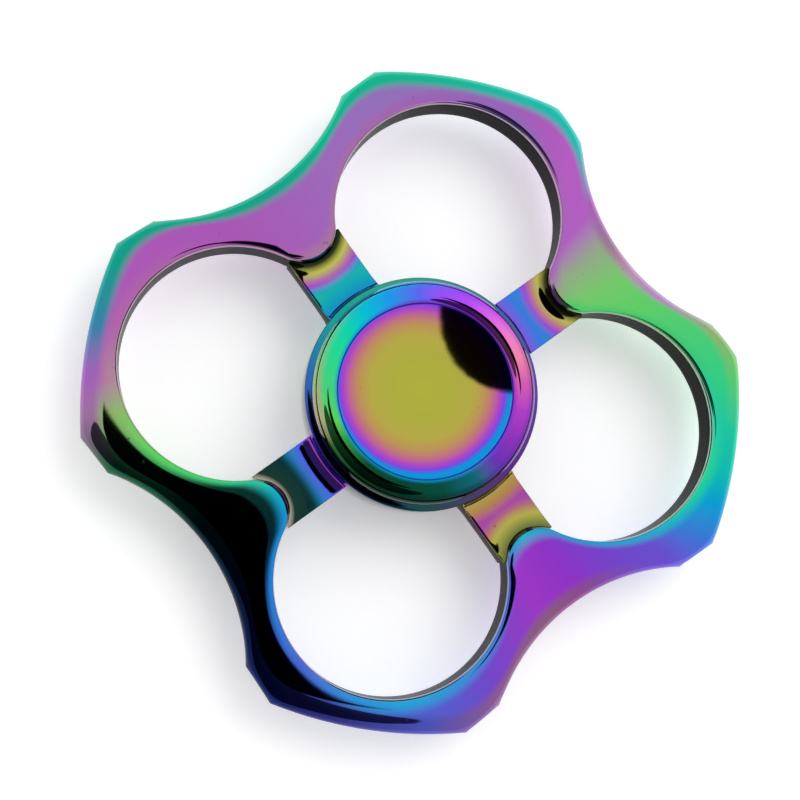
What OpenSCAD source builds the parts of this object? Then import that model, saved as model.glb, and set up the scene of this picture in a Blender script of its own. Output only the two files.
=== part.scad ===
// Four-lobed fidget spinner: a cast frame turning on a 608 ball bearing between two dished finger caps.
// Millimetres. Z is the spin axis, the origin is the centre of the bearing, and the lobes point along X and Y.

/* [Lobes] */
// Radius of the circle through the outer corners of the lobes
tip_r = 38; // [36:0.5:46]
// Angle from a lobe's middle line to its outer corners
tip_angle = 16.9; // [14:0.1:19]
// How far the curved end of a lobe rises between its corners
crown_rise = 1.3; // [0.6:0.1:2]
// How far inside that circle the shoulders are, where the corner flats end
shoulder_drop = 2.2; // [1.4:0.1:3]
// Angle from a lobe's middle line to its shoulders
shoulder_angle = 23.6; // [21:0.1:26]
// How far inside that circle the waists between two lobes are
waist_depth = 8.7; // [7:0.1:10]

/* [Finger openings] */
// Radius of each round opening
opening_r = 13.1; // [11:0.1:14]
// Width of the band between an opening and the end of its lobe
band_w = 3.6; // [2.5:0.1:5]

/* [Frame section] */
// Thickness of the outer frame
frame_t = 5.4; // [4.4:0.1:7]
// Height of the upright wall around the outside of the frame
edge_wall_h = 1.8; // [1:0.1:3]
// Width of the rounding on the outside edges
outer_round_w = 2.6; // [1:0.1:3]
// Radius of the rounding around the openings
inner_round = 0.6; // [0.3:0.1:1]
// Radius of the rounding on the inward noses
nose_round = 0.5; // [0.25:0.1:0.85]

/* [Hub and spokes] */
// Wall of the hub around the bearing
hub_wall = 2.2; // [1.4:0.1:4]
// Chamfer on the hub's edges
hub_chamfer = 0.3; // [0.1:0.1:0.6]
// Width of a spoke
spoke_w = 7; // [5:0.1:8.5]
// Thickness of a spoke
spoke_t = 3; // [2:0.1:4]
// Gap from the hub to the tip of a nose
spoke_span = 6; // [5:0.1:8]
// How far a spoke runs on beyond the tip of its nose
spoke_tuck = 1.6; // [1:0.1:2]
// Radius of the fillets at both ends of a spoke
spoke_fillet = 1.2; // [0.5:0.1:1.5]

/* [Ball bearing] */
// Outer diameter of the bearing
bearing_od = 22; // [21:0.5:28]
// Bore of the bearing
bearing_bore = 8; // [6:0.5:9]
// Width of the bearing
bearing_w = 7; // [6.8:0.1:9]
// Diameter of a ball
ball_d = 3.969; // [3.2:0.001:4]
// Number of balls
ball_count = 7; // [6:1:8]
// Clearance between a ball and its raceways
race_clearance = 0.04; // [0.02:0.01:0.08]
// Clearance between a ball and its cage pocket
pocket_clearance = 0.1; // [0.06:0.01:0.15]
// Sheet thickness of the cage
cage_t = 0.35; // [0.25:0.05:0.4]
// Radial width of the cage ribbon
cage_w = 1.9; // [1.4:0.1:2.2]
// Radius of a cage rivet
rivet_r = 0.35; // [0.25:0.05:0.45]
// Depth of the raceway shoulders beside the balls
race_shoulder = 0.5; // [0.3:0.05:0.6]
// Sheet thickness of a shield
shield_t = 0.25; // [0.2:0.05:0.35]
// Gap between a shield and the inner ring
shield_gap = 0.2; // [0.1:0.05:0.3]
// Wire size of a snap ring
snap_t = 0.35; // [0.25:0.05:0.45]
// Opening angle of a snap ring
snap_gap_angle = 24; // [12:1:40]

/* [Finger caps] */
// How far the edge of a cap sits inside the hub's edge
cap_inset = 0.7; // [0.4:0.1:2]
// Height of a cap from its underside to its rim
cap_h = 2.6; // [2.3:0.1:4]
// Gap between the hub and the underside of a cap
cap_gap = 0.4; // [0.3:0.1:1]
// Width of a cap's rim, from its edge to the dish
rim_w = 2.8; // [2.2:0.1:4]
// Width of the flat land on top of the rim
rim_land = 0.5; // [0.3:0.1:0.7]
// Width of the rounding outside the land
rim_round_w = 1.5; // [1:0.1:1.7]
// Height of the upright side of a cap
cap_side_h = 0.7; // [0.5:0.1:1]
// Fall from the rim's land to the edge of the dish
rim_fall = 0.6; // [0.1:0.05:0.7]
// Depth of the dish
dish_depth = 0.7; // [0.5:0.1:1.1]
// Radius of the shoulder that bears on the inner ring
cap_shoulder_r = 5.3; // [5:0.1:5.4]
// Clearance of a cap's boss in the bearing's bore
boss_clearance = 0.02; // [0.01:0.01:0.05]

/* [Grub screw] */
// Radius of the grub screw that joins the two caps
screw_r = 2; // [1.5:0.1:2.4]
// Length of the screw
screw_l = 7; // [6:0.5:8]
// Pitch of the screw's thread
screw_pitch = 0.7; // [0.5:0.1:0.8]
// Width across the flats of the screw's socket
socket_af = 2; // [1.5:0.1:2.2]

/* [Hidden] */
$fn = 64;
lobes = 4;
lap = 0.01;       // overlap between solids that are joined
clear_of = 4;     // how far cutters run past the solids
round_step = 18;  // angle between the points of a rounded edge's outline
waist_wall_extra = 0.1;  // the upright wall is this much taller at the waists
flat_wall_extra = 0.2;   // and this much taller along the corner flats
run_on = 0.3;     // share of its last step by which a rounded edge's outline runs on past the flat
sunk = 1;         // how far spokes and fillets reach into the wall they stand on
fillet_margin = 0.1;     // height left free above a fillet
dish_fn = 192;    // segments of the dish, whose radius is large
outer_shoulder_less = 0.1;  // the outer ring's raceway shoulders are this much lower than the inner ring's
cage_gap = 0.2;          // gap between the cage and a shield
shield_ledge_w = 0.7;    // width of the ledge that a shield lies on
snap_groove_depth = 0.25;
snap_w = 1.5 * snap_t;   // radial width of a snap ring
rivet_head_h = 0.2;
rivet_head_w = 0.25;     // how far a rivet's head reaches past its shank
cap_edge = 0.4;          // chamfer on a cap's lower edge

pitch_r = (bearing_od + bearing_bore) / 4;
ball_r = ball_d / 2;
race_r = ball_r + race_clearance;
pocket_r = ball_r + pocket_clearance;
inner_land_r = pitch_r - ball_r + race_shoulder;
outer_land_r = pitch_r + ball_r - race_shoulder + outer_shoulder_less;
shield_z = pocket_r + cage_t + cage_gap;
shield_seat_r = outer_land_r + shield_ledge_w;
snap_seat_r = shield_seat_r + snap_groove_depth;

hub_r = bearing_od / 2 + hub_wall;
nose_tip = hub_r + spoke_span;
core_margin = 0.35; // how far the space between the noses reaches past their contact with the openings
nose_blend = 0.25;  // the nose is this much blunter than one that would run smoothly into the openings

tip_x = tip_r * cos(tip_angle);
tip_y = tip_r * sin(tip_angle);
crown_r = tip_x + crown_rise;
crown_arc_r = (pow(tip_y, 2) + pow(crown_rise, 2)) / (2 * crown_rise);
shoulder_r = tip_r - shoulder_drop;
waist_r = tip_r - waist_depth;
shoulder_x = shoulder_r * cos(shoulder_angle);
shoulder_y = shoulder_r * sin(shoulder_angle);
waist_half_angle = 180 / lobes - shoulder_angle;
waist_drop = shoulder_r * cos(waist_half_angle) - waist_r;
waist_arc_r = (pow(shoulder_r * sin(waist_half_angle), 2) + pow(waist_drop, 2)) / (2 * waist_drop);

opening_at = crown_r - band_w - opening_r;
opening_diagonal = opening_at / sqrt(2);
nose_smooth_at = (2 * pow(opening_diagonal, 2) - pow(opening_r - nose_tip, 2))
    / (2 * (opening_diagonal + opening_r - nose_tip));
nose_smooth_r = nose_smooth_at - nose_tip;
nose_r = nose_smooth_r + nose_blend;
nose_at = nose_tip + nose_r;
nose_touch = norm([nose_smooth_at, 0]
    + nose_smooth_r / (nose_smooth_r + opening_r) * [opening_diagonal - nose_smooth_at, opening_diagonal]);
core_r = nose_touch + core_margin;

cap_r = hub_r - cap_inset;
cap_floor = bearing_w / 2 + cap_gap;
cap_top = cap_floor + cap_h;
dish_r = cap_r - rim_w;
dish_edge_z = cap_top - rim_fall;
dish_sphere_r = (pow(dish_r, 2) + pow(dish_depth, 2)) / (2 * dish_depth);
boss_r = bearing_bore / 2 - boss_clearance;
boss_end = 0.15;  // the bosses stop this far from the middle
dish_lip = 0.05;  // narrow flat between the rim's fall and the dish
dish_flat_r = 0.8;  // the middle of the dish is flat

ball_names = [for (i = [1:ball_count]) str("ball_", i)];

// Outline points of a quarter ellipse, w wide and h high, curving inwards from the upright at [r, z].
function rounded(r, z, w, h) = [for (a = [0:round_step:90]) [r - w * (1 - cos(a)), z + h * sin(a)]];

// The same curve with its last step run on past the flat, then straight up, and mirrored below.
function flank(r, w, wall_h) = let (
        curve = rounded(r, wall_h / 2, w, (frame_t - wall_h) / 2),
        last = curve[len(curve) - 1],
        past = last + run_on * (last - curve[len(curve) - 2]),
        upper = concat([for (i = [0:len(curve) - 2]) curve[i]], [past, [past.x, frame_t / 2 + clear_of]]))
    concat([for (i = [len(upper) - 1:-1:0]) [upper[i].x, -upper[i].y]], upper);

module around(n = lobes, start = 0) {
    for (i = [0:n - 1]) rotate(start + i * 360 / n) children();
}

module both_sides() {
    children();
    mirror([0, 0, 1]) children();
}

// ---- Frame ----

// A round post, wider through the middle of the frame, that leaves an edge rounded by w.
module rounded_post(r, w, wall_h) {
    side = flank(r, w, wall_h);
    reach = side[len(side) - 1].y;
    rotate_extrude() polygon(concat(side, [[0, reach], [0, -reach]]));
}

// A round cutter that leaves a rounded edge around its hole.
module rounded_hole(r, w, wall_h) {
    side = [for (p = flank(-r, w, wall_h)) [-p.x, p.y]];
    reach = side[len(side) - 1].y;
    rotate_extrude() polygon(concat(side, [[0, reach], [0, -reach]]));
}

// Cutters that take the corner flats off every lobe and leave a rounded edge along each flat.
module corner_flats() {
    slope = atan2(shoulder_y - tip_y, shoulder_x - tip_x) - 90;
    side = flank(0, outer_round_w, edge_wall_h + flat_wall_extra);
    reach = side[len(side) - 1].y;
    length = norm([tip_x - shoulder_x, tip_y - shoulder_y]) + 2 * clear_of;
    depth = 3 * clear_of;
    around() for (m = [0, 1]) mirror([0, m, 0])
        translate([(tip_x + shoulder_x) / 2, (tip_y + shoulder_y) / 2, 0]) rotate(slope)
            translate([0, length / 2, 0]) rotate([90, 0, 0])
                linear_extrude(height = length) polygon(concat(side, [[depth, reach], [depth, -reach]]));
}

module outer_body() {
    difference() {
        intersection() {
            cylinder(r = tip_r + clear_of, h = frame_t, center = true);
            intersection_for (i = [0:lobes - 1])
                rotate(i * 360 / lobes) translate([crown_r - crown_arc_r, 0, 0])
                    rounded_post(crown_arc_r, outer_round_w, edge_wall_h);
        }
        around(start = 180 / lobes) translate([waist_r + waist_arc_r, 0, 0])
            rounded_hole(waist_arc_r, outer_round_w, edge_wall_h + waist_wall_extra);
        corner_flats();
    }
}

// The space inside the frame between the noses, where only the spokes cross.
module core_cutter() {
    difference() {
        cylinder(r = core_r, h = frame_t + clear_of, center = true);
        around(start = 180 / lobes) translate([nose_at, 0, 0])
            rounded_post(nose_r, nose_round, frame_t - 2 * nose_round);
    }
}

module spoke_bar(h) {
    around(start = 180 / lobes) translate([hub_r - sunk, -spoke_w / 2, -h / 2])
        cube([spoke_span + spoke_tuck + sunk, spoke_w, h]);
}

// A concave fillet standing on the spokes around a round wall of radius r that is room high above them.
module fillet_ring(r, room) {
    rise = min(spoke_fillet, room - fillet_margin);
    foot = spoke_t / 2 - lap;
    curve = [for (a = [0:round_step:90]) [r + spoke_fillet * (1 - sin(a)), foot + lap + rise * (1 - cos(a))]];
    rotate_extrude()
        polygon(concat([[r - sunk, foot], [r + spoke_fillet, foot]], curve, [[r - sunk, foot + lap + rise]]));
}

module spoke_fillets() {
    intersection() {
        spoke_bar(bearing_w);
        both_sides() {
            fillet_ring(hub_r, (bearing_w - spoke_t) / 2 - hub_chamfer);
            around(start = 180 / lobes) translate([nose_at, 0, 0])
                fillet_ring(nose_r, (frame_t - spoke_t) / 2 - nose_round);
        }
    }
}

module hub() {
    edge = hub_r - hub_chamfer;
    shoulder = bearing_w / 2 - hub_chamfer;
    rotate_extrude() polygon([[0, -bearing_w / 2], [edge, -bearing_w / 2], [hub_r, -shoulder],
        [hub_r, shoulder], [edge, bearing_w / 2], [0, bearing_w / 2]]);
}

module spinner_frame() {
    color("mediumorchid")
    difference() {
        union() {
            difference() {
                difference() {
                    outer_body();
                    core_cutter();
                }
                around() translate([opening_at, 0, 0])
                    rounded_hole(opening_r, inner_round, frame_t - 2 * inner_round);
            }
            spoke_bar(spoke_t);
            spoke_fillets();
            hub();
        }
        cylinder(d = bearing_od, h = frame_t + 2 * clear_of, center = true);
    }
}

// ---- Ball bearing ----

module raceway() {
    rotate_extrude() translate([pitch_r, 0]) circle(r = race_r);
}

module bearing_outer_ring() {
    half = bearing_w / 2;
    inner = [[outer_land_r, 0], [outer_land_r, shield_z], [shield_seat_r, shield_z],
        [shield_seat_r, shield_z + shield_t], [snap_seat_r, shield_z + shield_t],
        [snap_seat_r, shield_z + shield_t + snap_t], [shield_seat_r, shield_z + shield_t + snap_t],
        [shield_seat_r, half]];
    lower = [for (i = [len(inner) - 1:-1:1]) [inner[i].x, -inner[i].y]];
    color("silver")
    difference() {
        rotate_extrude()
            polygon(concat(lower, inner, [[bearing_od / 2, half], [bearing_od / 2, -half]]));
        raceway();
    }
}

module bearing_inner_ring() {
    color("silver")
    difference() {
        cylinder(r = inner_land_r, h = bearing_w, center = true);
        cylinder(d = bearing_bore, h = bearing_w + clear_of, center = true);
        raceway();
    }
}

module ball(i) {
    color("lightgray") rotate((i - 1) * 360 / ball_count) translate([pitch_r, 0, 0]) sphere(r = ball_r);
}

// One stamped half of the ribbon cage: flats between the balls and domed pockets over them.
module cage_half() {
    color("darkgray")
    difference() {
        intersection() {
            difference() {
                cylinder(r = pitch_r + cage_w / 2, h = pocket_r + cage_t + lap);
                translate([0, 0, -lap]) cylinder(r = pitch_r - cage_w / 2, h = pocket_r + cage_t + 3 * lap);
            }
            union() {
                cylinder(r = pitch_r + cage_w, h = cage_t);
                around(ball_count) translate([pitch_r, 0, 0]) sphere(r = pocket_r + cage_t);
            }
        }
        around(ball_count) translate([pitch_r, 0, 0]) sphere(r = pocket_r);
        around(ball_count, 180 / ball_count) translate([pitch_r, 0, 0])
            cylinder(r = rivet_r, h = 4 * cage_t, center = true);
    }
}

module cage_rivets() {
    head_r = rivet_r + rivet_head_w;
    color("gray")
    around(ball_count, 180 / ball_count) translate([pitch_r, 0, 0]) {
        cylinder(r = rivet_r, h = 2 * cage_t + rivet_head_h, center = true);
        both_sides() translate([0, 0, cage_t]) cylinder(r1 = head_r, r2 = rivet_r, h = rivet_head_h);
    }
}

module shield() {
    color("dimgray")
    translate([0, 0, shield_z]) difference() {
        cylinder(r = shield_seat_r, h = shield_t);
        translate([0, 0, -lap]) cylinder(r = inner_land_r + shield_gap, h = shield_t + 2 * lap);
    }
}

module snap_ring() {
    color("gainsboro")
    translate([0, 0, shield_z + shield_t]) rotate(snap_gap_angle / 2)
        rotate_extrude(angle = 360 - snap_gap_angle)
            translate([snap_seat_r - snap_w, 0]) square([snap_w, snap_t]);
}

// ---- Finger caps ----

module finger_cap() {
    side_top = cap_floor + cap_side_h;
    land_out = cap_r - rim_round_w;
    rounding = rounded(cap_r, side_top, rim_round_w, cap_top - side_top);
    rim = concat([for (i = [0:len(rounding) - 2]) rounding[i]], [[land_out, cap_top]]);
    fall_w = land_out - rim_land - dish_r - dish_lip;
    fall = [for (a = [90:-30:0]) [land_out - rim_land - fall_w * cos(a), cap_top - rim_fall * (1 - sin(a))]];
    sphere_z = dish_edge_z - dish_depth + dish_sphere_r;
    color("darkturquoise")
    rotate_extrude() difference() {
        polygon(concat(
            [[0, boss_end], [boss_r, boss_end], [boss_r, bearing_w / 2], [cap_shoulder_r, bearing_w / 2],
             [cap_shoulder_r, cap_floor], [cap_r - cap_edge, cap_floor], [cap_r, cap_floor + cap_edge]],
            rim, fall, [[0, dish_edge_z]]));
        intersection() {
            difference() {
                translate([0, sphere_z]) circle(r = dish_sphere_r, $fn = dish_fn);
                translate([-dish_flat_r, 0])
                    square([2 * dish_flat_r, sphere_z - sqrt(pow(dish_sphere_r, 2) - pow(dish_flat_r, 2))]);
            }
            translate([-dish_r - dish_lip / 2, 0]) square([2 * dish_r + dish_lip, cap_top + clear_of]);
        }
        translate([-screw_r, 0]) square([2 * screw_r, screw_l / 2 + boss_end]);
    }
}

module joining_grub_screw() {
    thread_depth = 0.61 * screw_pitch;
    crest = 0.06;  // half a crest's width, as a share of the pitch
    end_clear = 0.5;
    socket_depth = 2;
    core = screw_r - thread_depth;
    turns = floor((screw_l / 2 - end_clear) / screw_pitch);
    ridges = [for (i = [-turns:turns]) for (p = [[core, -0.5], [screw_r, -crest], [screw_r, crest]])
        [p.x, (i + p.y) * screw_pitch]];
    last = (turns + 0.5) * screw_pitch;
    color("slategray")
    difference() {
        rotate_extrude() polygon(concat(
            [[0, -screw_l / 2], [core, -screw_l / 2]], ridges,
            [[core, last], [core, screw_l / 2], [0, screw_l / 2]]));
        translate([0, 0, screw_l / 2 - socket_depth])
            cylinder(d = socket_af / cos(30), h = socket_depth + lap, $fn = 6);
    }
}

spinner_frame();
bearing_outer_ring();
bearing_inner_ring();
for (i = [1:ball_count]) ball(i);
cage_half();  // cage_upper_half
mirror([0, 0, 1]) cage_half();  // cage_lower_half
cage_rivets();
shield();  // shield_upper
mirror([0, 0, 1]) shield();  // shield_lower
snap_ring();  // snap_ring_upper
mirror([0, 0, 1]) snap_ring();  // snap_ring_lower
finger_cap();  // finger_cap_upper
mirror([0, 0, 1]) finger_cap();  // finger_cap_lower
joining_grub_screw();
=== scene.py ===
from math import atan2, cos, hypot, pi, radians, sin, sqrt

import bmesh
import bpy
from mathutils import Matrix, Vector


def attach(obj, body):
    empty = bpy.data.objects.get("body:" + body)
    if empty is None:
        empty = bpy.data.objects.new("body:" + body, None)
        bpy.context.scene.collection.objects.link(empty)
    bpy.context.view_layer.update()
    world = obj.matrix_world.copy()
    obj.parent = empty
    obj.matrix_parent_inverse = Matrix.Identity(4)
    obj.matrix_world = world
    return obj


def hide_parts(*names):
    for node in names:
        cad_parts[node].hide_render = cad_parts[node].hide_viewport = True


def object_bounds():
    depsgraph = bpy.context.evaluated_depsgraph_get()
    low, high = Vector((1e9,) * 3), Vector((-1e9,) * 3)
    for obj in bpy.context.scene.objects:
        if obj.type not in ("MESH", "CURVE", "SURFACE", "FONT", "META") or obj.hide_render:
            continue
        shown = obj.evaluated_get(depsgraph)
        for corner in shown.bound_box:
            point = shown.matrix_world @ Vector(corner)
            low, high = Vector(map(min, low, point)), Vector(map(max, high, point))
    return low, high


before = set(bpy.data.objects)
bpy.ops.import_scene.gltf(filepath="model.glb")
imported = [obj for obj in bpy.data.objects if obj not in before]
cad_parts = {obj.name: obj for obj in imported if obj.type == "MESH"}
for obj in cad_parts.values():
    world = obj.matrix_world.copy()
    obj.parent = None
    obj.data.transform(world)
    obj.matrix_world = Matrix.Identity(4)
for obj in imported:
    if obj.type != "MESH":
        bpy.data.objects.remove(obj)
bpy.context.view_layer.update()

mm = 0.001


# small helpers for modelling

def startPiece(name):
    bpy.ops.object.select_all(action="DESELECT")
    piece = bpy.context.active_object
    piece.name = name
    piece.data.name = name
    piece.select_set(True)
    return piece


def editMode(on=True):
    bpy.ops.object.mode_set(mode="EDIT" if on else "OBJECT")


def applyModifier(piece, kind, **settings):
    modifier = piece.modifiers.new(kind.title(), kind)
    for key, value in settings.items():
        setattr(modifier, key, value)
    bpy.ops.object.select_all(action="DESELECT")
    piece.select_set(True)
    bpy.context.view_layer.objects.active = piece
    bpy.ops.object.modifier_apply(modifier=modifier.name)


def mergeAndRecalc(distance=0.002 * mm):
    editMode()
    bpy.ops.mesh.select_all(action="SELECT")
    bpy.ops.mesh.remove_doubles(threshold=distance)
    bpy.ops.mesh.normals_make_consistent(inside=False)
    editMode(False)


# smooth across edges that bend by less than this many degrees
def smoothShade(piece, angle):
    bpy.ops.object.select_all(action="DESELECT")
    piece.select_set(True)
    bpy.context.view_layer.objects.active = piece
    bpy.ops.object.shade_smooth_by_angle(angle=radians(angle))


def mirrorBelow(piece):
    applyModifier(piece, "MIRROR", use_axis=(False, False, True), merge_threshold=0.002 * mm)
    mergeAndRecalc()


def copyTurned(piece, name, angle):
    twin = piece.copy()
    twin.data = piece.data.copy()
    twin.name = name
    bpy.context.scene.collection.objects.link(twin)
    twin.data.transform(Matrix.Rotation(angle, 4, "Z"))
    return twin


def turned(point, angle):
    x, y = point
    return (x * cos(angle) - y * sin(angle), x * sin(angle) + y * cos(angle))


# shader graphs written as expressions

class Wire:
    def __init__(self, graph, socket):
        self.graph = graph
        self.socket = socket

    def maths(self, operation, first, second=0.0):
        return self.graph.node("ShaderNodeMath", {"operation": operation}, {0: first, 1: second})

    def __add__(self, other):
        return self.maths("ADD", self, other)

    __radd__ = __add__

    def __sub__(self, other):
        return self.maths("SUBTRACT", self, other)

    def __rsub__(self, other):
        return self.maths("SUBTRACT", other, self)

    def __mul__(self, other):
        return self.maths("MULTIPLY", self, other)

    __rmul__ = __mul__

    def __truediv__(self, other):
        return self.maths("DIVIDE", self, other)

    def power(self, other):
        return self.maths("POWER", self, other)


class Graph:
    def __init__(self, tree):
        self.tree = tree
        tree.nodes.clear()

    def feed(self, socket, value):
        if isinstance(value, Wire):
            self.tree.links.new(value.socket, socket)
        else:
            socket.default_value = value

    def node(self, kind, settings=None, values=None, output=0):
        made = self.tree.nodes.new(kind)
        for key, value in (settings or {}).items():
            if key == "stops":
                fillRamp(made.color_ramp, value)
            else:
                setattr(made, key, value)
        for key, value in (values or {}).items():
            self.feed(made.inputs[key], value)
        return Wire(self, made.outputs[output]) if made.outputs else None

    # 0 below low, 1 above high, with soft ends
    def step(self, value, low, high):
        return self.node("ShaderNodeMapRange", {"interpolation_type": "SMOOTHSTEP"},
                         {"Value": value, "From Min": low, "From Max": high})

    def ramp(self, value, stops):
        return self.node("ShaderNodeValToRGB", {"stops": stops}, {"Fac": value})

    # a mix of two colours, whose sockets are the sixth and seventh
    def blend(self, factor, first, second):
        return self.node("ShaderNodeMix", {"data_type": "RGBA"}, {0: factor, 6: first, 7: second}, output=2)

    def attribute(self, name):
        return self.node("ShaderNodeAttribute", {"attribute_name": name}, output="Fac")

    def noise(self, position, scale, detail=2.0, roughness=0.5):
        return self.node("ShaderNodeTexNoise", {}, {"Vector": position, "Scale": scale, "Detail": detail,
                                                    "Roughness": roughness}, output="Fac")

    def objectPlace(self):
        return self.node("ShaderNodeTexCoord", output="Object")

    def split(self, vector):
        made = self.tree.nodes.new("ShaderNodeSeparateXYZ")
        self.feed(made.inputs[0], vector)
        return [Wire(self, made.outputs[i]) for i in range(3)]


# a colour written as on the web, made linear
def tone(code):
    channels = [int(code[i:i + 2], 16) / 255 for i in (0, 2, 4)]
    return tuple(c / 12.92 if c <= 0.04045 else ((c + 0.055) / 1.055) ** 2.4 for c in channels) + (1.0,)


def fillRamp(ramp, stops):
    ramp.interpolation = "LINEAR"
    ordered = sorted(stops, key=lambda stop: stop[0])
    while len(ramp.elements) < len(ordered):
        ramp.elements.new(0.5)
    for element, (place, _) in zip(ramp.elements, ordered):
        element.position = place
    for element, (_, colour) in zip(ramp.elements, ordered):
        element.color = colour if isinstance(colour, tuple) else tone(colour)


# colours round the axis, given as (degrees from +X, colour), closed into one turn from -180 to 180
def aroundStops(pairs):
    wrapped = sorted(((a + 180) % 360 / 360, c) for a, c in pairs)
    (firstAt, first), (lastAt, last) = wrapped[0], wrapped[-1]
    share = (1 - lastAt) / (1 - lastAt + firstAt)
    seam = tuple(a + (b - a) * share for a, b in zip(tone(last), tone(first)))
    return [(0.0, seam)] + wrapped + [(1.0, seam)]


def newFinish(name):
    material = bpy.data.materials.new(name)
    material.use_nodes = True
    return material, Graph(material.node_tree)


# polished coating: mirror bright, with faint ripple, fine wiping marks and a few specks
coatSizes = {
    "cloudScale": 120, "cloudRoughness": 0.03,
    "markScale": 2600, "markRoughness": 0.015, "markHeight": 0.02,
    "speckScale": 900, "speckRange": (0.70, 0.78), "speckTone": "2a1420", "speckShare": 0.35,
    "speckRoughness": 0.15, "speckHeight": 0.05,
    "rippleScale": 60, "rippleHeight": 0.7, "bumpDistance": 0.02 * mm, "bumpStrength": 0.5,
}


def coated(graph, colour, place, roughness):
    k = coatSizes
    speck = graph.step(graph.noise(place, k["speckScale"], 3.0, 0.6), *k["speckRange"])
    cloud = graph.noise(place, k["cloudScale"], 3.0)
    marks = graph.noise(place, k["markScale"], 2.0)
    ripple = graph.noise(place, k["rippleScale"], 2.0)
    shader = graph.node("ShaderNodeBsdfPrincipled", {}, {
        "Base Color": graph.blend(speck * k["speckShare"], colour, tone(k["speckTone"])),
        "Metallic": 1.0,
        "Roughness": (roughness + k["cloudRoughness"] * cloud + k["markRoughness"] * marks
                      + k["speckRoughness"] * speck),
        "Normal": graph.node("ShaderNodeBump", {}, {
            "Height": k["rippleHeight"] * ripple + k["markHeight"] * marks + k["speckHeight"] * speck,
            "Distance": k["bumpDistance"], "Strength": k["bumpStrength"]}),
    })
    graph.node("ShaderNodeOutputMaterial", {}, {"Surface": shader})


# the angle round the axis, from 0 to 1 for -180 to 180 degrees
def angleShare(graph, place):
    x, y, _ = graph.split(place)
    turn = graph.node("ShaderNodeMath", {"operation": "ARCTAN2"}, {0: y, 1: x})
    return turn / (2 * pi) + 0.5


def radiusOf(graph, place):
    x, y, _ = graph.split(place)
    return (x * x + y * y).power(0.5)


# the cast frame

frameSizes = {
    "tipRadius": 38.0, "tipAngle": radians(16.9), "crownRise": 1.3,
    "shoulderRadius": 35.8, "shoulderAngle": radians(23.6), "waistRadius": 29.3,
    "openingRadius": 13.1, "bandWidth": 3.6, "halfThick": 2.7,
    "outerRound": 2.6, "outerDrop": 1.6, "innerRound": 0.6,
    "outerArch": 0.2, "outerReach": 7.0, "innerArch": 0.11, "innerReach": 4.0,   # the top is slightly crowned
    "hubRadius": 13.2, "boreRadius": 11.0, "hubHalf": 3.5, "hubRound": 0.3, "boreRound": 0.12,
    "spokeSpan": 6.0, "spokeHalfWidth": 3.5, "spokeHalf": 1.5, "spokeTuck": 1.6, "spokeRound": 0.18,
    "spokeSunk": 0.6,        # how far a spoke's ends run into the walls they meet
    "hubFillet": 1.7, "hubRise": 1.3, "noseFillet": 2.0, "noseRise": 0.62,
    "stations": 96,          # points along half a lobe
    "roundSteps": 12, "middleSteps": 14, "innerSteps": 7,
    "spokeSteps": (56, 30), "spokeLipSteps": 5,   # along and across a spoke, and in its rounded edges
    "softening": 11,         # smoothing passes for each step away from the outer edge
}

s = frameSizes
quarter = pi / 2
corner = (s["tipRadius"] * cos(s["tipAngle"]), s["tipRadius"] * sin(s["tipAngle"]))
shoulder = (s["shoulderRadius"] * cos(s["shoulderAngle"]), s["shoulderRadius"] * sin(s["shoulderAngle"]))
crownEnd = corner[0] + s["crownRise"]
crownArc = (corner[1] ** 2 + s["crownRise"] ** 2) / (2 * s["crownRise"])
openingAt = crownEnd - s["bandWidth"] - s["openingRadius"]
noseTip = s["hubRadius"] + s["spokeSpan"]

# the nose runs smoothly into both openings beside it
openingDiagonal = openingAt / sqrt(2)
reach = s["openingRadius"] - noseTip
noseAt = (2 * openingDiagonal ** 2 - reach ** 2) / (2 * (openingDiagonal + reach))
noseRadius = noseAt - noseTip


def arcPoints(centre, radius, start, end, count):
    step = (end - start) / count
    return [(centre[0] + radius * cos(start + i * step), centre[1] + radius * sin(start + i * step))
            for i in range(count + 1)]


# outer edge of half a lobe, from its middle line to the waist
def outerHalf(count):
    halfAngle = atan2(corner[1], crownArc - s["crownRise"])
    diagonal = pi / 4
    waistHalf = diagonal - s["shoulderAngle"]
    drop = s["shoulderRadius"] * cos(waistHalf) - s["waistRadius"]
    halfChord = s["shoulderRadius"] * sin(waistHalf)
    waistArc = (halfChord ** 2 + drop ** 2) / (2 * drop)
    centre = turned((s["waistRadius"] + waistArc, 0), diagonal)
    start = atan2(shoulder[1] - centre[1], shoulder[0] - centre[0])
    turn = (diagonal - start) % (2 * pi) - pi   # the short way round
    lengths = [crownArc * halfAngle, hypot(corner[0] - shoulder[0], corner[1] - shoulder[1]),
               waistArc * abs(turn)]
    crownCount = round(count * lengths[0] / sum(lengths))
    flatCount = round(count * lengths[1] / sum(lengths))
    waistCount = count - crownCount - flatCount
    crown = arcPoints((crownEnd - crownArc, 0), crownArc, 0, halfAngle, crownCount)
    flat = [(corner[0] + (shoulder[0] - corner[0]) * i / flatCount,
             corner[1] + (shoulder[1] - corner[1]) * i / flatCount) for i in range(flatCount)]
    waist = arcPoints(centre, waistArc, start, start + turn, waistCount)
    return crown[:-1] + flat + waist


# inner edge of half a lobe, from its middle line round the opening to the tip of the nose
def innerHalf(count):
    nose = turned((noseAt, 0), pi / 4)
    meet = atan2(nose[1], nose[0] - openingAt)
    noseStart = meet - pi
    noseEnd = pi / 4 - pi
    openingLength = s["openingRadius"] * meet
    noseLength = noseRadius * abs(noseEnd - noseStart)
    openingCount = round(count * openingLength / (openingLength + noseLength))
    opening = arcPoints((openingAt, 0), s["openingRadius"], 0, meet, openingCount)
    tip = arcPoints(nose, noseRadius, noseStart, noseEnd, count - openingCount)
    return opening[:-1] + tip


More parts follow.
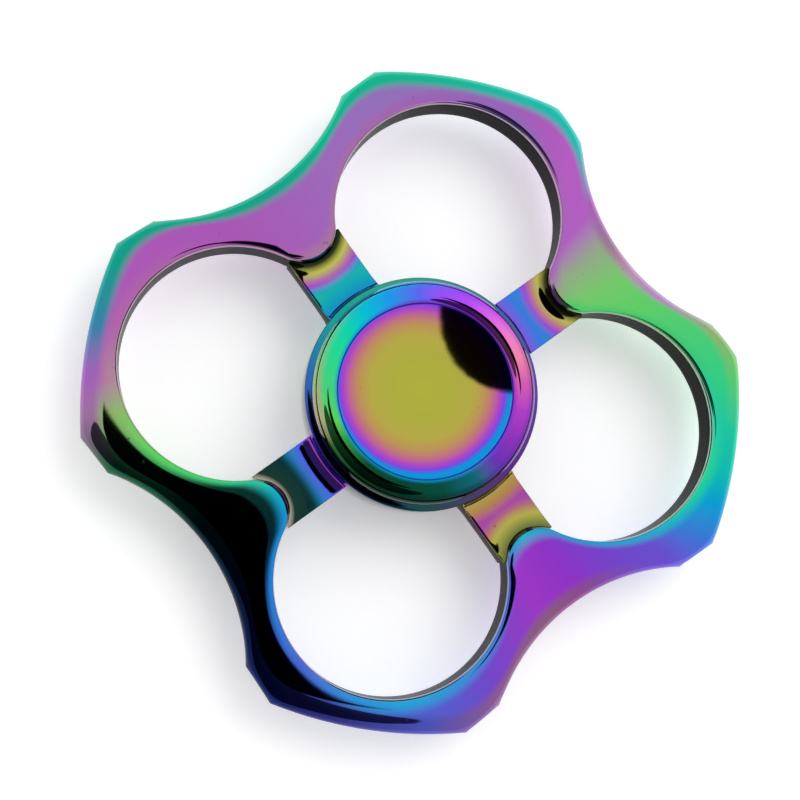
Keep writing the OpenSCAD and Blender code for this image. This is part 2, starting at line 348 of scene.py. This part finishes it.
# the whole edge, from half a lobe and its mirror image repeated round the axis
def wholeTurn(half):
    count = len(half) - 1
    points = []
    for sector in range(8):
        for i in range(count):
            if sector % 2 == 0:
                points.append(turned(half[i], sector / 2 * quarter))
            else:
                x, y = half[count - i]
                points.append(turned((x, -y), (sector + 1) / 2 * quarter))
    return points


# a closed edge with its corners worn down
def softened(points, passes):
    count = len(points)
    for _ in range(passes):
        points = [((points[i - 1][0] + 2 * points[i][0] + points[(i + 1) % count][0]) / 4,
                   (points[i - 1][1] + 2 * points[i][1] + points[(i + 1) % count][1]) / 4)
                  for i in range(count)]
    return points


# how high the top stands at a distance from the outer edge, across a band of that width
def bandHeight(distance, width):
    outside = max(0.0, 1 - distance / s["outerRound"])
    inside = max(0.0, 1 - (width - distance) / s["innerRound"])
    arch = (s["outerArch"] * max(0.0, 1 - distance / s["outerReach"]) ** 2
            + s["innerArch"] * max(0.0, 1 - (width - distance) / s["innerReach"]) ** 2)
    return (s["halfThick"] - arch - s["outerDrop"] * (1 - sqrt(max(0.0, 1 - outside ** 2)))
            - s["innerRound"] * (1 - sqrt(max(0.0, 1 - inside ** 2))))


def makeRing():
    outer = wholeTurn(outerHalf(s["stations"]))
    inner = wholeTurn(innerHalf(s["stations"]))
    count = len(outer)

    # each level is (kind, share): the outside wall, outer rounding, middle, inner rounding, the opening's wall
    levels = [("wall", 0.0)]
    levels += [("outer", 1 - cos(quarter * i / s["roundSteps"])) for i in range(s["roundSteps"])]
    levels += [("middle", i / s["middleSteps"]) for i in range(s["middleSteps"])]
    levels += [("inner", sin(quarter * i / s["innerSteps"])) for i in range(s["innerSteps"] + 1)]
    levels += [("bore", 0.5), ("bore", 0.0)]

    bpy.ops.mesh.primitive_circle_add(vertices=count, radius=s["tipRadius"] * mm, fill_type="NOTHING")
    ring = startPiece("lobe_ring")
    editMode()
    mesh = bmesh.from_edit_mesh(ring.data)
    station = mesh.verts.layers.int.new("station")
    fromRim = mesh.verts.layers.float.new("fromRim")
    fromOpening = mesh.verts.layers.float.new("fromOpening")
    mesh.verts.ensure_lookup_table()
    for i, vertex in enumerate(mesh.verts):
        vertex[station] = i
    edge = outer
    for number, (kind, share) in enumerate(levels):
        if number:
            bpy.ops.mesh.extrude_edges_move()
            mesh = bmesh.from_edit_mesh(ring.data)
            station = mesh.verts.layers.int["station"]
            fromRim = mesh.verts.layers.float["fromRim"]
            fromOpening = mesh.verts.layers.float["fromOpening"]
        if kind == "outer" and number > 1:
            edge = softened(edge, s["softening"])
        for vertex in mesh.verts:
            if not vertex.select:
                continue
            i = vertex[station]
            ox, oy = edge[i]
            ix, iy = inner[i]
            width = hypot(ix - ox, iy - oy)
            if kind in ("wall", "outer"):
                distance = share * s["outerRound"]
            elif kind == "middle":
                distance = s["outerRound"] + share * (width - s["outerRound"] - s["innerRound"])
            elif kind == "inner":
                distance = width - s["innerRound"] * (1 - share)
            else:
                distance = width
            z = bandHeight(distance, width)
            if kind == "wall":
                z = 0.0
            elif kind == "bore":
                z *= share
            vertex.co = ((ox + (ix - ox) * distance / width) * mm,
                         (oy + (iy - oy) * distance / width) * mm, z * mm)
            vertex[fromRim] = distance if kind != "wall" else -1.0
            vertex[fromOpening] = width - distance if kind != "bore" else -1.0
        bmesh.update_edit_mesh(ring.data)
    editMode(False)
    mirrorBelow(ring)
    smoothShade(ring, 50)
    return ring


# height of a concave fillet at a distance from the wall it climbs
def filletHeight(distance, length, rise):
    left = min(1.0, max(0.0, 1 - distance / length))
    return rise * (1 - sqrt(max(0.0, 1 - left ** 2)))


def makeSpoke():
    along, across = s["spokeSteps"]
    bpy.ops.mesh.primitive_grid_add(x_subdivisions=along, y_subdivisions=across, size=2)
    spoke = startPiece("spoke")
    editMode()
    mesh = bmesh.from_edit_mesh(spoke.data)
    fromHub = mesh.verts.layers.float.new("fromHub")
    fromNose = mesh.verts.layers.float.new("fromNose")
    half, lip = s["spokeHalfWidth"], s["spokeRound"]
    spokeEnd = noseTip + s["spokeTuck"]
    lipSteps = s["spokeLipSteps"]
    for vertex in mesh.verts:
        i = round((vertex.co.x + 1) / 2 * along)
        j = round((vertex.co.y + 1) / 2 * across)
        fromSide = min(j, across - j)
        sign = -1 if j < across / 2 else 1
        if fromSide < lipSteps:
            y = sign * (half - lip * (1 - cos(quarter * fromSide / lipSteps)))
            drop = lip * (1 - sin(quarter * fromSide / lipSteps))
        else:
            y = (half - lip) * (2 * (j - lipSteps) / (across - 2 * lipSteps) - 1)
            drop = 0.0
        start = sqrt(s["hubRadius"] ** 2 - y ** 2)
        end = min(noseAt - sqrt(noseRadius ** 2 - y ** 2), spokeEnd)
        if i == 0:
            x = start - s["spokeSunk"]
        elif i == along:
            x = max(end, min(end + s["spokeSunk"], spokeEnd))
        else:
            share = (i - 1) / (along - 2)
            share = 0.5 - 0.5 * cos(pi * share)   # closer together at both ends
            x = start + (end - start) * share
        hubGap = hypot(x, y) - s["hubRadius"]
        noseGap = hypot(x - noseAt, y) - noseRadius
        z = (s["spokeHalf"] - drop + filletHeight(hubGap, s["hubFillet"], s["hubRise"])
             + filletHeight(noseGap, s["noseFillet"], s["noseRise"]))
        vertex.co = (x * mm, y * mm, z * mm)
        vertex[fromHub] = hubGap
        vertex[fromNose] = noseGap
    bmesh.update_edit_mesh(spoke.data)
    bpy.ops.mesh.select_mode(type="EDGE")
    bpy.ops.mesh.select_all(action="DESELECT")
    mesh = bmesh.from_edit_mesh(spoke.data)
    for edge in mesh.edges:
        edge.select = len(edge.link_faces) == 1
    bpy.ops.mesh.extrude_edges_move()
    mesh = bmesh.from_edit_mesh(spoke.data)
    for edge in mesh.edges:
        if edge.select:
            for vertex in edge.verts:
                vertex.co.z = 0.0
    bmesh.update_edit_mesh(spoke.data)
    bpy.ops.mesh.select_mode(type="VERT")
    editMode(False)
    mirrorBelow(spoke)
    smoothShade(spoke, 40)
    return spoke


# a profile of (radius, height) in millimetres turned about Z
def makeTurned(name, profile, steps=192, closed=True):
    bpy.ops.mesh.primitive_circle_add(vertices=len(profile), radius=mm, fill_type="NOTHING")
    piece = startPiece(name)
    editMode()
    mesh = bmesh.from_edit_mesh(piece.data)
    mesh.verts.ensure_lookup_table()
    for vertex, (radius, height) in zip(mesh.verts, profile):
        vertex.co = (radius * mm, 0.0, height * mm)
    if not closed:
        mesh.edges.ensure_lookup_table()
        ends = {mesh.verts[0], mesh.verts[-1]}
        bmesh.ops.delete(mesh, geom=[e for e in mesh.edges if set(e.verts) == ends], context="EDGES")
    bmesh.update_edit_mesh(piece.data)
    bpy.ops.mesh.select_all(action="SELECT")
    bpy.ops.mesh.spin(steps=steps, angle=2 * pi, center=(0, 0, 0), axis=(0, 0, 1))
    editMode(False)
    mergeAndRecalc()
    return piece


def roundedCorner(centre, radius, start, end, steps=5):
    return arcPoints(centre, radius, radians(start), radians(end), steps)


def makeHub():
    outer, inner, top = s["hubRadius"], s["boreRadius"], s["hubHalf"]
    lip, bore = s["hubRound"], s["boreRound"]
    profile = roundedCorner((outer - lip, top - lip), lip, 0, 90)
    profile += roundedCorner((inner + bore, top - bore), bore, 90, 180)
    profile += [(r, -z) for r, z in reversed(profile)]
    hub = makeTurned("hub_ring", profile)
    smoothShade(hub, 40)
    return hub


frameRoughness = {"ring": 0.01, "spoke": 0.015, "hub": 0.015}

# tones round the ring, as (degrees from +X, colour); the near-black stops from about -105 to -150 degrees on
# the outer and middle bands are the coating's colour darkened by a painted dark reflection
ringTones = {
    "outer": [(99, "14b48f"), (80, "1fb8a6"), (67, "20b8b0"), (58, "a860b8"), (48, "9a7890"),
              (40, "b890b0"), (32, "b088c0"), (21, "8cb070"), (13, "58c870"), (4, "20c49c"), (-4, "0cb8b0"),
              (-10, "0c98d0"), (-17, "3a74d4"), (-24, "6a4ccc"), (-41, "8a4a90"), (-52, "8a5a80"),
              (-67, "8a5a90"), (-80, "4a50b0"), (-95, "30307c"), (-108, "14205c"), (-120, "0a1638"),
              (-140, "08282a"), (-158, "1c5c3c"), (-168, "a070a0"), (-174, "a060b8"), (178, "3880a8"),
              (167, "149c88"), (150, "14a486"), (137, "18a088"), (120, "12b08c")],
    "middle": [(99, "8f72b8"), (80, "a35cb8"), (67, "b55cc0"), (56, "b060c0"), (49, "94a888"),
               (40, "74c86a"), (32, "60cc68"), (21, "48cc78"), (13, "34cc84"), (4, "18c4a0"),
               (-4, "0cb8b0"), (-10, "0c9cd0"), (-17, "3a78d4"), (-22, "6650cc"), (-31, "7444c8"),
               (-41, "8c34c4"), (-52, "9a38c4"), (-67, "7248c8"), (-75, "5c58cc"), (-84, "4a64cc"),
               (-105, "30347c"), (-117, "101c48"), (-129, "08262c"), (-147, "0a3428"), (-158, "309050"),
               (-167, "8cb068"), (-173, "b070a8"), (178, "b058b8"), (150, "a858b4"), (120, "9c6aba")],
    "inner": [(99, "a060b5"), (80, "8a6ab8"), (67, "a862b6"), (52, "a868b8"), (46, "98a088"),
              (40, "50c868"), (21, "40c470"), (13, "30c890"), (4, "28c8a0"), (-4, "28d098"),
              (-10, "20c8a8"), (-17, "18b8c0"), (-22, "20a8cc"), (-35, "2098d0"), (-45, "24b0c8"),
              (-55, "4a60d4"), (-67, "3a88d8"), (-84, "24a4d8"), (-94, "2e90d8"), (-105, "4a68d4"),
              (-117, "2a80d8"), (-129, "1890d0"), (-138, "18b0b8"), (-147, "40d080"), (-158, "5cd060"),
              (-167, "88bc68"), (-173, "b08898"), (178, "b068a8"), (150, "a858b0"), (136, "a8789a")],
}


# where one tone gives way to the next, in millimetres from the outer edge or from the opening
ringBands = {"outer": (1.2, 2.6), "inner": (0.4, 2.2), "lip": (0.04, 0.32), "edge": (-0.6, 0.12),
             # the pale tone on the lips of the openings is a painted highlight, and the near-black tone on the
             # outer wall is painted shade
             "lipHighlightTone": "c8b8b0", "lipHighlightShare": 0.55, "edgeShadeTone": "14100e", "edgeShadeShare": 0.7,
             "wanderScale": 45, "wanderTurn": 0.012, "wanderIn": 0.5}


def ringFinish():
    k = ringBands
    material, graph = newFinish("rainbow_lobes")
    place = graph.objectPlace()
    wander = graph.noise(place, k["wanderScale"], 2.0)
    share = angleShare(graph, place) + k["wanderTurn"] * (wander - 0.5)
    fromRim = graph.attribute("fromRim")
    fromOpening = graph.attribute("fromOpening")
    outer = graph.ramp(share, aroundStops(ringTones["outer"]))
    middle = graph.ramp(share, aroundStops(ringTones["middle"]))
    inner = graph.ramp(share, aroundStops(ringTones["inner"]))
    drift = k["wanderIn"] * (wander - 0.5)
    # the lip of each opening is mixed towards a pale painted highlight
    lip = graph.blend(k["lipHighlightShare"], inner, tone(k["lipHighlightTone"]))
    # the outer wall is darkened towards near black as painted shade
    edge = graph.blend(k["edgeShadeShare"], outer, tone(k["edgeShadeTone"]))
    colour = graph.blend(1 - graph.step(fromRim + drift, *k["outer"]), middle, outer)
    colour = graph.blend(1 - graph.step(fromOpening + drift, *k["inner"]), colour, inner)
    # lay the painted highlight along the lips of the openings
    colour = graph.blend(1 - graph.step(fromOpening, *k["lip"]), colour, lip)
    # lay the painted shade on the outer wall
    colour = graph.blend(1 - graph.step(fromRim, *k["edge"]), colour, edge)
    coated(graph, colour, place, frameRoughness["ring"])
    return material


# the upright walls of the openings and spokes, painted near black as painted shade
shadedWallLooks = {"tones": ("080606", "1c1612"), "cloudScale": 300, "cloudRange": (0.45, 0.75),
             "roughness": 0.18, "cloudRoughness": 0.2, "specular": 0.02,
             "bumpDistance": 0.02 * mm, "bumpStrength": 0.4}


def shadedWallFinish():
    k = shadedWallLooks
    material, graph = newFinish("painted_shade_walls")
    place = graph.objectPlace()
    cloud = graph.noise(place, k["cloudScale"], 4.0, 0.6)
    shader = graph.node("ShaderNodeBsdfPrincipled", {}, {
        "Base Color": graph.blend(graph.step(cloud, *k["cloudRange"]), *[tone(c) for c in k["tones"]]),
        "Metallic": 0.0, "Specular IOR Level": k["specular"],
        "Roughness": k["roughness"] + k["cloudRoughness"] * cloud,
        "Normal": graph.node("ShaderNodeBump", {}, {
            "Height": cloud, "Distance": k["bumpDistance"], "Strength": k["bumpStrength"]}),
    })
    graph.node("ShaderNodeOutputMaterial", {}, {"Surface": shader})
    return material


# each spoke by the sides it lies on, east or west, then north or south, as (share of the span, colour); the
# dark first stops of the nose ramps, near black on the north spokes, are painted shade in the crease where the
# spoke meets the nose, the pale first stop of the south-west nose ramp is a painted highlight, and that ramp's
# near-black later stops are the coating's colour darkened by a painted dark reflection
spokeTones = {
    "eastNorth": {"hub": [(0.0, "8a48d8"), (0.35, "3a78dc"), (0.8, "1c98cc")],
                  "nose": [(0.0, "0c100c"), (0.06, "3c4020"), (0.2, "b8b458"), (0.34, "b87888"),
                           (0.46, "9c48d0"),
                           (0.62, "3c70d8"), (0.9, "149ccc")]},
    "westNorth": {"hub": [(0.0, "1c80c8"), (0.3, "14a8b4"), (0.7, "2cc090")],
                  "nose": [(0.0, "0c140c"), (0.08, "2c3820"), (0.22, "bcbc50"), (0.36, "b07898"),
                           (0.46, "a04cc8"),
                           (0.6, "208cd8"), (0.85, "1cc098")]},
    "westSouth": {"hub": [(0.0, "a040c8"), (0.3, "4c60dc"), (0.6, "1890b8")],
                  "nose": [(0.0, "b8b09c"), (0.12, "1c3830"), (0.5, "0c3438"), (0.9, "0c4448")]},
    "eastSouth": {"hub": [(0.0, "a8a44c"), (0.25, "b08050"), (0.45, "a8489c")],
                  "nose": [(0.0, "5c6438"), (0.08, "788040"), (0.28, "b0ac4c"), (0.45, "b07070"),
                           (0.6, "a04cae"), (0.9, "a4489c")]},
}


spokeBands = {"wanderScale": 160, "wander": 0.35, "noseWander": 0.3, "change": (-0.35, 0.25), "side": 0.1 * mm}


def spokeFinish():
    k = spokeBands
    material, graph = newFinish("rainbow_spokes")
    place = graph.objectPlace()
    x, y, _ = graph.split(place)
    wander = k["wander"] * (graph.noise(place, k["wanderScale"], 2.0) - 0.5)
    fromHub = (graph.attribute("fromHub") + wander) / s["spokeSpan"]
    fromNose = (graph.attribute("fromNose") + wander * k["noseWander"]) / s["spokeSpan"]
    tones = {}
    for name, ends in spokeTones.items():
        hubEnd = graph.ramp(fromHub, ends["hub"])
        noseEnd = graph.ramp(fromNose, ends["nose"])
        tones[name] = graph.blend(graph.step(fromHub - fromNose, *k["change"]), hubEnd, noseEnd)
    east = graph.step(x, -k["side"], k["side"])
    north = graph.step(y, -k["side"], k["side"])
    colour = graph.blend(north, graph.blend(east, tones["westSouth"], tones["eastSouth"]),
                         graph.blend(east, tones["westNorth"], tones["eastNorth"]))
    coated(graph, colour, place, frameRoughness["spoke"])
    return material


hubTones = [(180, "2c68b0"), (150, "1c9c98"), (120, "30a080"), (95, "3c9c84"), (60, "2c7c8c"), (20, "5c48a8"),
            (-30, "5c2c80"), (-80, "1c4c48"), (-120, "20306c"), (-150, "4040b4")]


# the hub's side is painted darker below this height, as painted shade
hubBands = {"side": (3.22 * mm, 3.45 * mm), "sideShadeTone": "100c10", "sideShadeShare": 0.8}


def hubFinish():
    k = hubBands
    material, graph = newFinish("rainbow_hub")
    place = graph.objectPlace()
    z = graph.split(place)[2]
    colour = graph.ramp(angleShare(graph, place), aroundStops(hubTones))
    height = z.maths("ABSOLUTE", z)
    # painted shade for the hub's side wall
    dim = graph.blend(k["sideShadeShare"], colour, tone(k["sideShadeTone"]))
    colour = graph.blend(graph.step(height, *k["side"]), dim, colour)
    coated(graph, colour, place, frameRoughness["hub"])
    return material


def makeFrame():
    walls = shadedWallFinish()
    ring = makeRing()
    ring.data.materials.append(ringFinish())
    ring.data.materials.append(walls)
    opening = ring.data.attributes["fromOpening"].data
    # the walls of the openings take the near-black painted shade finish
    for face in ring.data.polygons:
        if all(opening[i].value <= 0.0 for i in face.vertices):
            face.material_index = 1
    first = makeSpoke()
    first.data.materials.append(spokeFinish())
    first.data.materials.append(walls)
    # the upright sides of the spoke take the near-black painted shade finish
    for face in first.data.polygons:
        if abs(face.normal.z) < 0.2 and abs(face.normal.y) > 0.5:
            face.material_index = 1
    first.data.transform(Matrix.Rotation(pi / 4, 4, "Z"))
    spokes = [first] + [copyTurned(first, f"spoke_{i + 2}", (i + 1) * quarter) for i in range(3)]
    hub = makeHub()
    hub.data.materials.append(hubFinish())
    bpy.ops.object.select_all(action="DESELECT")
    for piece in [ring, hub] + spokes:
        piece.select_set(True)
    bpy.context.view_layer.objects.active = ring
    bpy.ops.object.join()
    ring.name = "rainbow_spinner_frame"
    ring.data.name = ring.name
    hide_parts("spinner_frame")
    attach(ring, "spinner")
    print("frame modelled:", len(ring.data.polygons), "faces")


# the finger caps

capSizes = {
    "radius": 12.5, "floor": 3.9, "top": 6.5, "sideTop": 4.6, "edge": 0.4,
    "crestRadius": 10.75, "dishRadius": 9.7, "dishEdge": 5.9, "dishDepth": 0.7,
    "shoulderRadius": 5.3, "shoulderHeight": 3.5, "bossRadius": 3.98, "bossEnd": 0.15,
    "screwRadius": 2.05, "screwTop": 3.7,
    "fallShare": 0.86,       # share of a quarter turn that the rim's inner slope bends through
    "rimSteps": 14, "fallSteps": 9, "dishSteps": 26, "turnSteps": 256,
}


def makeCap():
    c = capSizes
    points = [(0.0, c["screwTop"]), (c["screwRadius"], c["screwTop"]), (c["screwRadius"], c["bossEnd"]),
              (c["bossRadius"], c["bossEnd"]), (c["bossRadius"], c["shoulderHeight"]),
              (c["shoulderRadius"], c["shoulderHeight"]), (c["shoulderRadius"], c["floor"])]
    points += roundedCorner((c["radius"] - c["edge"], c["floor"] + c["edge"]), c["edge"], -90, 0)
    width, rise = c["radius"] - c["crestRadius"], c["top"] - c["sideTop"]
    for i in range(c["rimSteps"] + 1):
        a = quarter * i / c["rimSteps"]
        points.append((c["radius"] - width * (1 - cos(a)), c["sideTop"] + rise * sin(a)))
    fallWidth, fall = c["crestRadius"] - c["dishRadius"], c["top"] - c["dishEdge"]
    fallTurn = quarter * c["fallShare"]
    for i in range(1, c["fallSteps"] + 1):
        a = fallTurn * i / c["fallSteps"]
        points.append((c["crestRadius"] - fallWidth * sin(a) / sin(fallTurn),
                       c["top"] - fall * (1 - cos(a)) / (1 - cos(fallTurn))))
    for i in range(1, c["dishSteps"] + 1):
        share = i / c["dishSteps"]
        points.append((c["dishRadius"] * (1 - share),
                       c["dishEdge"] - c["dishDepth"] * (1 - (1 - share) ** 2)))
    cap = makeTurned("cap_upper", points, steps=c["turnSteps"], closed=False)
    smoothShade(cap, 35)
    return cap


# tones round the cap, as (degrees from +X, colour), and across its dish, as (share of its radius, colour); the
# near-black stops from about -50 to -120 degrees on the outer and crest rings are the coating's colour darkened
# by a painted dark reflection, and the bright pinks from about 28 to 42 degrees on the crest are coating colour
# with a painted highlight
capTones = {
    "outer": [(-171, "9cb078"), (160, "60c890"), (140, "20b8c0"), (120, "18a0d8"), (100, "3c78e0"),
              (80, "8048e0"), (60, "a848e0"), (40, "b460c8"), (25, "b85c98"), (5, "8c3cae"),
              (-15, "7430a8"), (-35, "5c2c98"), (-50, "104458"), (-70, "08342c"), (-95, "082c20"),
              (-120, "0c3018"), (-140, "2c5c30"), (-155, "b0a084")],
    "crest": [(-171, "44d07c"), (165, "24d890"), (150, "10d0b0"), (135, "08b8d8"), (120, "2094e8"),
              (105, "5868f0"), (92, "9450f8"), (75, "b44cf8"), (58, "dc64e8"), (42, "f080c8"),
              (28, "f088a8"), (14, "d860b0"), (-2, "b040c4"), (-20, "8c34b8"), (-36, "6834b4"),
              (-50, "146878"), (-70, "0a4c3c"), (-95, "0a4430"), (-120, "104c28"), (-138, "2c9440"),
              (-152, "58d058")],
    "inner": [(-171, "1094d4"), (150, "1088d8"), (130, "2c70d8"), (110, "6440c0"), (80, "7830b0"),
              (40, "9038b4"), (0, "8c34c4"), (-30, "5c44d8"), (-60, "1890dc"), (-100, "1098d0"),
              (-140, "0c98d4")],
    "dish": [(0.0, "b0b040"), (0.35, "acac40"), (0.6, "b4a848"), (0.72, "bc9458"), (0.82, "c07080"),
             (0.9, "b048c0"), (0.955, "7c48e0"), (0.985, "2c78e0"), (1.0, "1094d8")],
}


# where one tone gives way to the next, as radii, and the heights between which the underside turns to the rim;
# below these heights the cap is painted darker, as painted shade on its underside and lower side
capBands = {
    "outer": (11.2 * mm, 12.1 * mm), "inner": (9.7 * mm, 10.4 * mm), "dish": (9.60 * mm, 9.75 * mm),
    "under": (3.9 * mm, 4.5 * mm), "underShadeTone": "120c14", "underShadeShare": 0.7,
    "warmMiddle": (-0.4 * mm, 0.4 * mm),   # the warm middle of the dish lies a little towards the north-west
    "wanderScale": 130, "wanderTurn": 0.02, "wanderOut": 0.03, "roughness": 0.01,
}


def capFinish():
    material, graph = newFinish("rainbow_caps")
    c = capSizes
    k = capBands
    place = graph.objectPlace()
    wander = graph.noise(place, k["wanderScale"], 3.0)
    share = angleShare(graph, place) + k["wanderTurn"] * (wander - 0.5)
    radius = radiusOf(graph, place)
    outer = graph.ramp(share, aroundStops(capTones["outer"]))
    crest = graph.ramp(share, aroundStops(capTones["crest"]))
    inner = graph.ramp(share, aroundStops(capTones["inner"]))
    x, y, z = graph.split(place)
    warmX, warmY = x - k["warmMiddle"][0], y - k["warmMiddle"][1]
    warm = (warmX * warmX + warmY * warmY).power(0.5)
    dish = graph.ramp(warm / (c["dishRadius"] * mm) + k["wanderOut"] * (wander - 0.5), capTones["dish"])
    rim = graph.blend(graph.step(radius, *k["outer"]), crest, outer)
    rim = graph.blend(1 - graph.step(radius, *k["inner"]), rim, inner)
    colour = graph.blend(graph.step(radius, *k["dish"]), dish, rim)
    height = z.maths("ABSOLUTE", z)
    # painted shade for the underside and lower side of the cap
    dim = graph.blend(k["underShadeShare"], colour, tone(k["underShadeTone"]))
    colour = graph.blend(graph.step(height, *k["under"]), dim, colour)
    coated(graph, colour, place, k["roughness"])
    return material


def makeCaps():
    upper = makeCap()
    upper.data.materials.append(capFinish())
    lower = copyTurned(upper, "cap_lower", 0.0)
    lower.data.transform(Matrix.Rotation(pi, 4, "X"))
    for piece, node in ((upper, "finger_cap_upper"), (lower, "finger_cap_lower")):
        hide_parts(node)
        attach(piece, "caps")
    print("caps modelled:", len(upper.data.polygons), "faces each")


# bearing steel, kept on the modelled bearing parts

# each steel is (base colour, worn colour, roughness, grain scale)
steels = {
    "ground_bearing_steel": ("c8cacc", "a4a8ac", 0.12, 900),
    "ball_steel": ("d4d6d8", "bcc0c4", 0.04, 1500),
    "pressed_sheet_steel": ("a8a9a6", "84857f", 0.3, 1200),
    "spring_steel": ("8c8c8c", "62605e", 0.28, 1400),
    "oiled_black_steel": ("2c2b2a", "161514", 0.38, 1000),
}
steelOf = {"ball_": "ball_steel", "bearing_": "ground_bearing_steel", "cage_": "pressed_sheet_steel",
           "shield_": "pressed_sheet_steel", "snap_": "spring_steel"}


def steelFinish(name):
    base, dark, roughness, scale = steels[name]
    material, graph = newFinish(name)
    place = graph.objectPlace()
    grain = graph.noise(place, scale, 4.0, 0.6)
    x, y, z = graph.split(place)
    # turning marks run round the axis
    turning = graph.noise(graph.node("ShaderNodeCombineXYZ", {}, {
        "X": (x * x + y * y).power(0.5) * 9000, "Y": z * 9000}), 1.0, 2.0)
    worn = graph.step(graph.noise(place, scale * 0.15, 3.0), 0.45, 0.7)
    shader = graph.node("ShaderNodeBsdfPrincipled", {}, {
        "Base Color": graph.blend(worn * 0.6, tone(base), tone(dark)),
        "Metallic": 1.0,
        "Roughness": roughness + 0.12 * turning + 0.08 * grain,
        "Normal": graph.node("ShaderNodeBump", {}, {
            "Height": 0.6 * turning + 0.4 * grain, "Distance": 0.000008, "Strength": 0.5}),
    })
    graph.node("ShaderNodeOutputMaterial", {}, {"Surface": shader})
    return material


def finishBearing():
    finishes = {name: steelFinish(name) for name in steels}
    for name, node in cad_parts.items():
        kind = [steel for start, steel in steelOf.items() if name.startswith(start)] or ["oiled_black_steel"]
        node.data.materials.clear()
        node.data.materials.append(finishes[kind[0]])
    print("bearing finished")


# floor, light and camera

stageSizes = {
    "floorHalf": 1.2, "floorTone": "fafafa", "floorRoughness": 0.9, "floorSpecular": 0.1, "floorGlow": 0.3,
    "cameraPlace": (-2.08, -0.37, 173.2),          # millimetres, before the turns
    "cameraTurns": (6.137, -7.743, 9.015),         # degrees about X, Y and Z
    "lens": 68.3, "sensor": 36, "clip": (0.005, 10),
    "lightPlace": (0.25, 0.3, 0.55), "lightSize": 0.5, "lightPower": 1.2,
}


def makeStage():
    k = stageSizes
    bpy.ops.object.select_all(action="DESELECT")
    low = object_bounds()[0][2]
    bpy.ops.mesh.primitive_plane_add(size=2 * k["floorHalf"], location=(0, 0, low))
    floor = bpy.context.active_object
    floor.name = "floor"
    material, graph = newFinish("pale_floor")
    shader = graph.node("ShaderNodeBsdfPrincipled", {}, {
        "Base Color": tone(k["floorTone"]), "Roughness": k["floorRoughness"],
        "Specular IOR Level": k["floorSpecular"],
        "Emission Color": tone("ffffff"), "Emission Strength": k["floorGlow"]})
    graph.node("ShaderNodeOutputMaterial", {}, {"Surface": shader})
    floor.data.materials.append(material)


# the dark side of the studio: (tilt from straight up, turn round the axis, half width, shade) of two dark areas
skySizes = {
    "strength": 1.0, "ragged": 0.03, "raggedScale": 9.0, "softEdge": 0.008,
    "dark": [(46, 240, 34, "5c5c64"), (8, 233, 12.3, "0c0a14")],
}


def makeSky():
    world = bpy.data.worlds.new("studio")
    bpy.context.scene.world = world
    world.use_nodes = True
    graph = Graph(world.node_tree)
    k = skySizes
    direction = graph.node("ShaderNodeTexCoord", output="Generated")
    ragged = k["ragged"] * (graph.noise(direction, k["raggedScale"], 4.0, 0.6) - 0.5)
    shade = tone("ffffff")
    for tilt, turn, spread, dim in k["dark"]:
        tilt, turn, spread = radians(tilt), radians(turn), radians(spread)
        centre = (sin(tilt) * cos(turn), sin(tilt) * sin(turn), cos(tilt))
        facing = graph.node("ShaderNodeVectorMath", {"operation": "DOT_PRODUCT"}, {0: direction, 1: centre},
                            output="Value")
        dark = graph.step(ragged * sin(spread) + facing,
                          cos(spread + k["softEdge"]), cos(spread - k["softEdge"]))
        shade = graph.blend(dark, shade, tone(dim))
    back = graph.node("ShaderNodeBackground", {}, {"Color": shade, "Strength": k["strength"]})
    graph.node("ShaderNodeOutputWorld", {}, {"Surface": back})


def makeLight():
    k = stageSizes
    data = bpy.data.lights.new("soft_light", "AREA")
    data.shape = "DISK"
    data.size = k["lightSize"]
    data.energy = k["lightPower"]
    light = bpy.data.objects.new("soft_light", data)
    light.location = k["lightPlace"]
    light.visible_glossy = False
    light.rotation_euler = Vector(light.location).to_track_quat("Z", "Y").to_euler()
    bpy.context.scene.collection.objects.link(light)


def makeCamera():
    k = stageSizes
    data = bpy.data.cameras.new("camera")
    data.sensor_width = k["sensor"]
    data.lens = k["lens"]
    data.clip_start, data.clip_end = k["clip"]
    camera = bpy.data.objects.new("camera", data)
    turnX, turnY, turnZ = [Matrix.Rotation(radians(angle), 3, axis)
                           for angle, axis in zip(k["cameraTurns"], "XYZ")]
    turn = turnZ @ turnY @ turnX
    camera.matrix_world = Matrix.Translation(turn @ Vector(k["cameraPlace"]) * mm) @ turn.to_4x4()
    bpy.context.scene.collection.objects.link(camera)
    bpy.context.scene.camera = camera


makeStage()
makeSky()
makeLight()
makeCamera()
print("stage ready")
makeFrame()
makeCaps()
finishBearing()

scene = bpy.context.scene
scene.view_settings.view_transform = "Standard"
scene.view_settings.look = "None"
